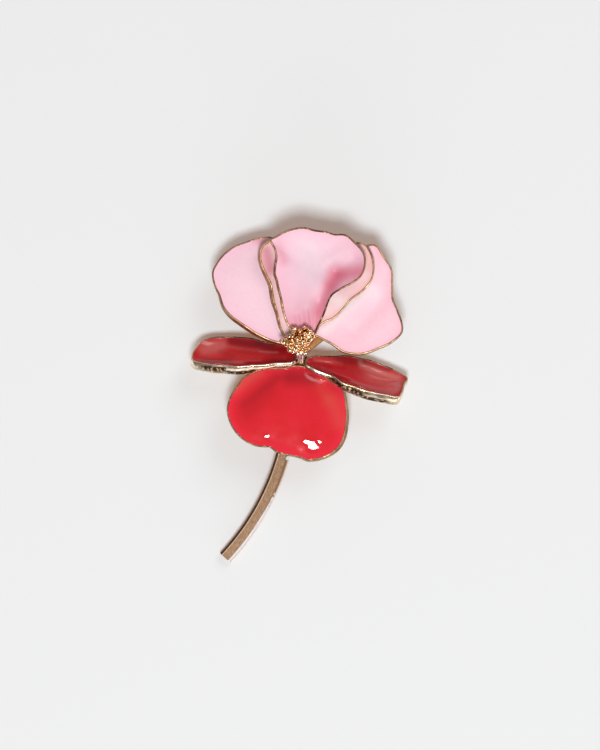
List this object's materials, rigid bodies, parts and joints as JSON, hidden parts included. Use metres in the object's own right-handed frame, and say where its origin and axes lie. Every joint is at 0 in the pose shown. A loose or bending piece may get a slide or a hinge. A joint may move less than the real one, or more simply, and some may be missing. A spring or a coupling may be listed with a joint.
{
  "type": "flower brooch",
  "caption": "Flower brooch with enamelled petals in layers on a curved stem, a cluster of stamens in the middle, and a pin with an open catch on the back.",
  "frame": {"origin": "on the surface that the brooch lies on, under the middle of its box", "axes": "+X points right seen from the front, +Y from the stem's tip to the top petals, +Z out of the flower's face"},
  "size_m": [0.0389, 0.0599, 0.0128],
  "materials": {
    "gold": "gold plate, worn and slightly rough",
    "enamel_pink": "glossy pale pink enamel",
    "enamel_red": "glossy bright red enamel",
    "enamel_dark_red": "glossy dark red enamel"
  },
  "bodies": {
    "root": {"petal_left": "gold", "petal_right": "gold", "petal_centre_back": "gold", "petal_centre_front": "gold", "petal_bottom": "gold", "wing_left": "gold", "wing_right": "gold", "enamel_left": "enamel_pink", "enamel_right": "enamel_pink", "enamel_centre_back": "enamel_pink", "enamel_centre_front": "enamel_pink", "enamel_bottom": "enamel_red", "enamel_wing_left": "enamel_dark_red", "enamel_wing_right": "enamel_dark_red", "frame": "gold", "stamens": "gold", "pin_back": "gold"}
  },
  "joints": []
}
